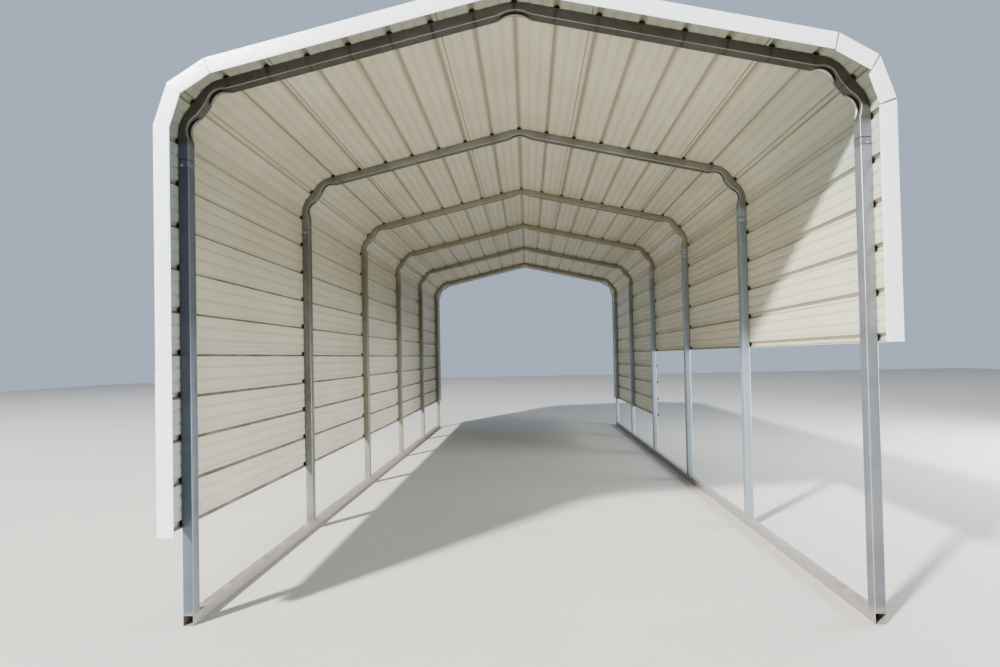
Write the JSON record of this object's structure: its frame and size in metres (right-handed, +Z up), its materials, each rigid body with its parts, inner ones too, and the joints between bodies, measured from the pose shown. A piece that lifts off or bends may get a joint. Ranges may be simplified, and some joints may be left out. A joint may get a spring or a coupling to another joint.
{
  "type": "carport",
  "caption": "Open-ended carport: bent square-tube bows on legs and ground rails, ribbed steel sheets over a rounded gable roof and part-height side walls, with folded edge trim.",
  "frame": {"origin": "on the ground plane under the middle of the plan", "axes": "+X across the bay towards the wall whose front part stops short, +Y along the building from the open front end to the open back end, +Z up"},
  "size_m": [3.7032, 7.9286, 3.3089],
  "materials": {
    "galvanised_tube": "dull galvanised, spangled, with pale dust",
    "sheet_stone": "satin baked paint, faded, with dirt streaks",
    "trim_white": "satin baked paint, lightly soiled"
  },
  "bodies": {
    "root": {"back_trim_left_corner": "trim_white", "back_trim_left_roof": "trim_white", "back_trim_left_wall": "trim_white", "back_trim_right_corner": "trim_white", "back_trim_right_roof": "trim_white", "back_trim_right_wall": "trim_white", "bow_1": "galvanised_tube", "bow_2": "galvanised_tube", "bow_3": "galvanised_tube", "bow_4": "galvanised_tube", "bow_5": "galvanised_tube", "bow_6": "galvanised_tube", "corner_sheet_left": "sheet_stone", "corner_sheet_right": "sheet_stone", "front_trim_left_corner": "trim_white", "front_trim_left_roof": "trim_white", "front_trim_left_wall": "trim_white", "front_trim_left_wall_lower": "trim_white", "front_trim_right_corner": "trim_white", "front_trim_right_roof": "trim_white", "front_trim_right_wall": "trim_white", "ground_rail_left": "galvanised_tube", "ground_rail_right": "galvanised_tube", "leg_left_1": "galvanised_tube", "leg_left_2": "galvanised_tube", "leg_left_3": "galvanised_tube", "leg_left_4": "galvanised_tube", "leg_left_5": "galvanised_tube", "leg_left_6": "galvanised_tube", "leg_right_1": "galvanised_tube", "leg_right_2": "galvanised_tube", "leg_right_3": "galvanised_tube", "leg_right_4": "galvanised_tube", "leg_right_5": "galvanised_tube", "leg_right_6": "galvanised_tube", "rail_stubs_left": "galvanised_tube", "rail_stubs_right": "galvanised_tube", "roof_sheet_left": "sheet_stone", "roof_sheet_ridge": "sheet_stone", "roof_sheet_right": "sheet_stone", "wall_sheet_left_lower": "sheet_stone", "wall_sheet_left_upper": "sheet_stone", "wall_sheet_right_lower": "sheet_stone", "wall_sheet_right_upper": "sheet_stone"}
  },
  "joints": []
}
